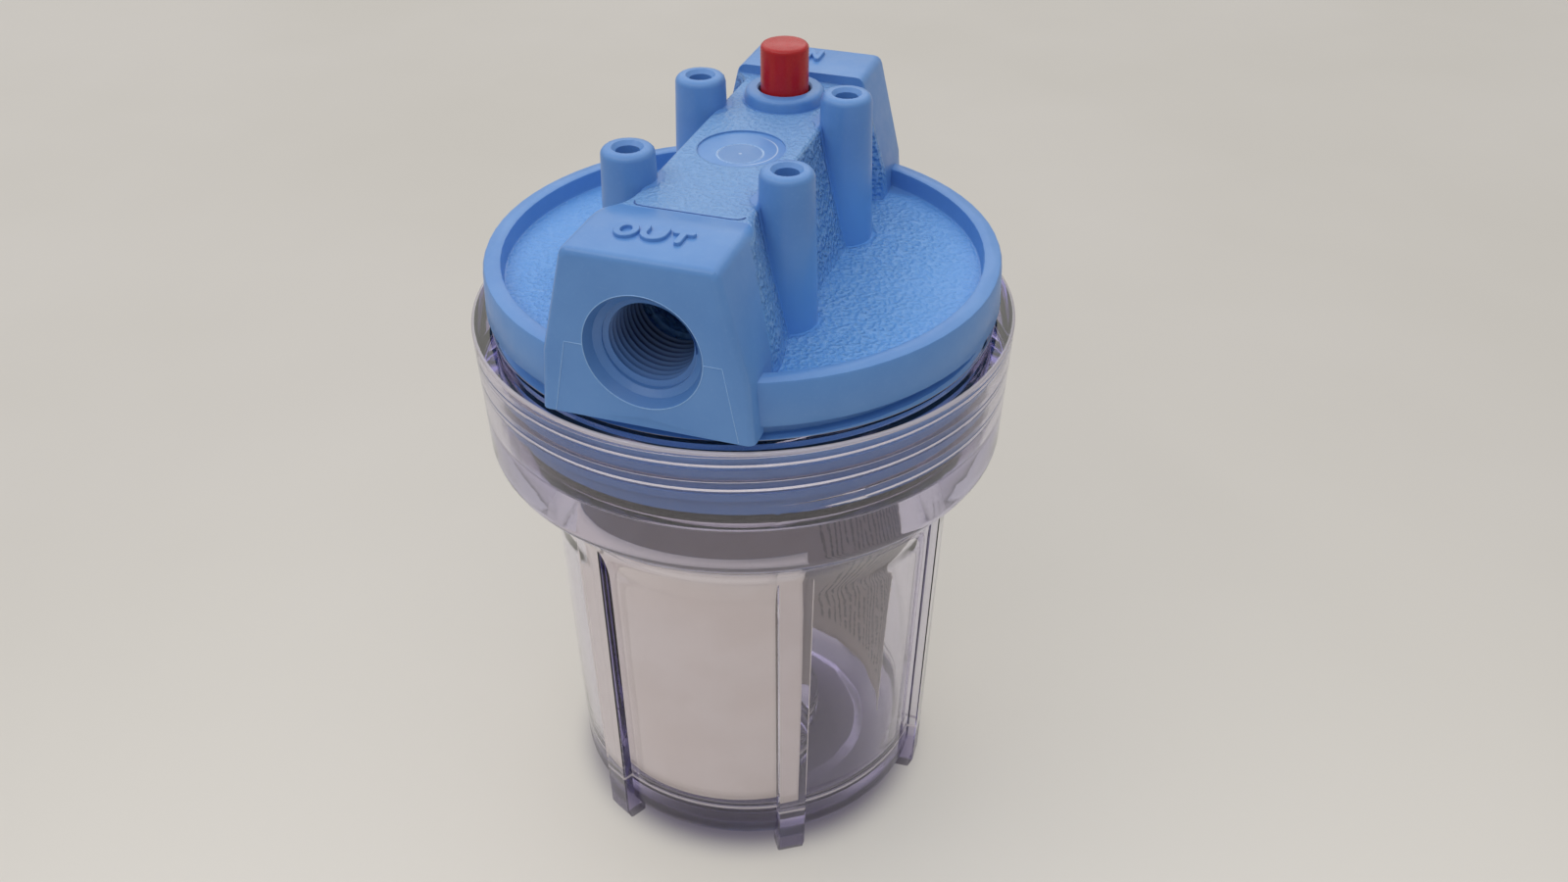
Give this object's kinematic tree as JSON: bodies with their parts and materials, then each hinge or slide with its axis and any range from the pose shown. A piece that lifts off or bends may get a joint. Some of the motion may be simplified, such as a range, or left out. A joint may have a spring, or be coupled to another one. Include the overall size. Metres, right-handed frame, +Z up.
{
  "type": "water filter housing",
  "caption": "Clear bowl water filter housing with a screwed blue cap, threaded side ports, a red pressure relief button and an O-ring seal.",
  "frame": {"origin": "on the surface that the feet stand on, on the axis of the bowl", "axes": "+Z up along the axis of the bowl, the outlet port towards -Y and the inlet port towards +Y"},
  "size_m": [0.13, 0.13, 0.1955],
  "materials": {
    "blue_polypropylene": "satin blue polypropylene, grained on the plate and on the middle of the bridge",
    "clear_plastic": "clear polished styrene acrylonitrile with a faint violet tint",
    "black_rubber": "greased black rubber",
    "seal_rubber": "black rubber",
    "red_plastic": "glossy red plastic",
    "spring_steel": "drawn stainless wire",
    "screw_steel": "bright stainless",
    "paper": "matt printed sheet, plain side out"
  },
  "bodies": {
    "bowl": {"bowl": "clear_plastic", "instruction_leaflet": "paper"},
    "seal_ring": {"bowl_o_ring": "black_rubber"},
    "cap": {"cap": "blue_polypropylene", "relief_spring": "spring_steel"},
    "relief_valve": {"relief_button": "red_plastic", "relief_screw": "screw_steel", "relief_seal": "seal_rubber"}
  },
  "joints": [
    {"name": "cap_turn", "type": "hinge", "parent": "bowl", "child": "seal_ring", "pos_m": [0, 0, 0.1204], "axis": [0, 0, 1], "range_deg": [0, 1080]},
    {"name": "cap_lift", "type": "slide", "parent": "seal_ring", "child": "cap", "axis": [0, 0, 1], "range_m": [0, 0.0191]},
    {"name": "relief_press", "type": "slide", "parent": "cap", "child": "relief_valve", "axis": [0, 0, -1], "range_m": [0, 0.003], "stiffness_N_per_m": 450, "springref_m": -0.004, "deforming": ["relief_spring"]}
  ],
  "couplings": [
    {"joint": "cap_lift", "follows": "cap_turn", "m_per_rad": 0.0010106}
  ]
}
